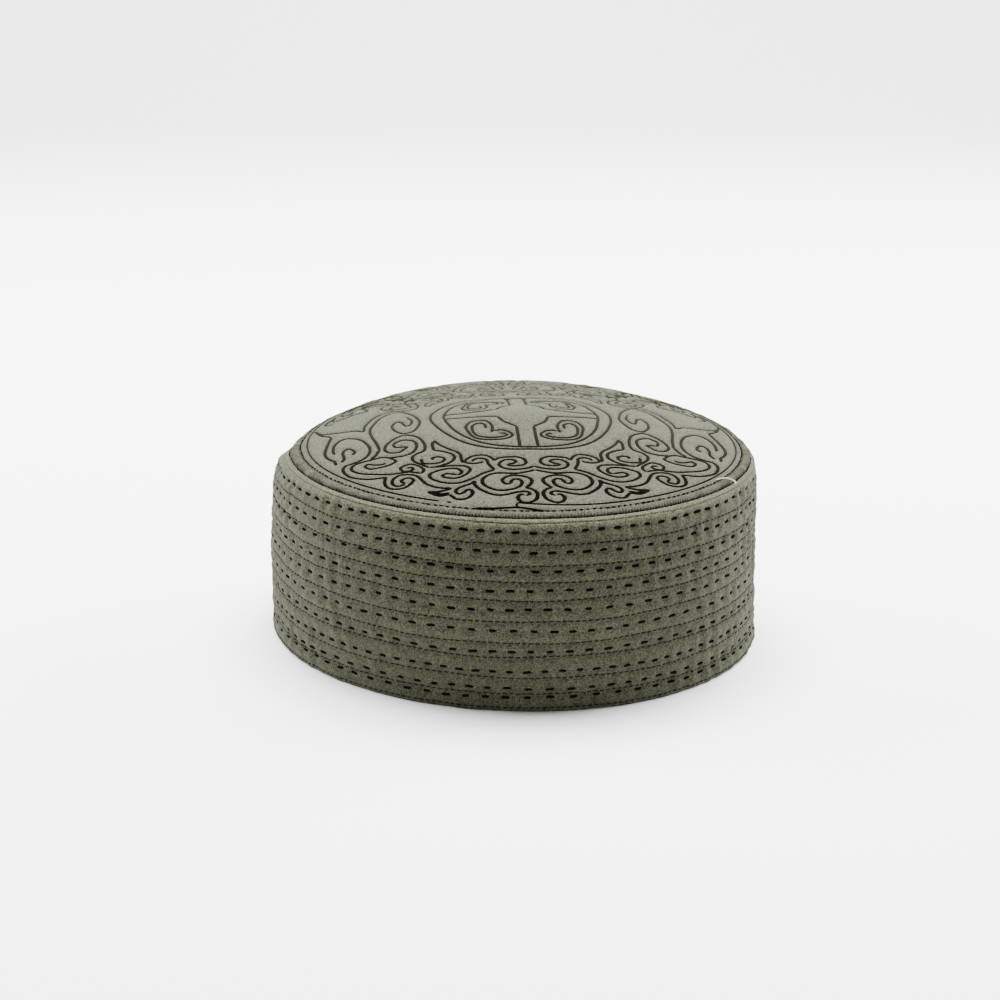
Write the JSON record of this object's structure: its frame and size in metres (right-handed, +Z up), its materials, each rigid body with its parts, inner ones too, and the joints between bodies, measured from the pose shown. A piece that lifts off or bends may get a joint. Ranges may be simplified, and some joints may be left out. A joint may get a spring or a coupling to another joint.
{
  "type": "prayer cap",
  "caption": "Low round prayer cap with a quilted side band, corded rim and slightly domed embroidered top, hollow and open below.",
  "frame": {"origin": "on the surface that the cap stands on, under the middle of its outline", "axes": "+Z up through the top panel, -Y towards the front of the cap, +X to its right as seen from the front"},
  "size_m": [0.186, 0.1796, 0.0837],
  "materials": {
    "band_cloth": "grey olive brushed melange cloth, quilted in rows",
    "cord_cloth": "grey olive overcast thread over a cord",
    "top_cloth": "grey olive brushed melange cloth, stiffened",
    "dark_thread": "near-black embroidery and running-stitch thread",
    "olive_thread": "dark olive sewing thread",
    "inner_cloth": "wrong side of the same grey olive cloth"
  },
  "bodies": {
    "root": {"side_band": "band_cloth", "rim_piping": "cord_cloth", "crown_top": "top_cloth"}
  },
  "joints": []
}
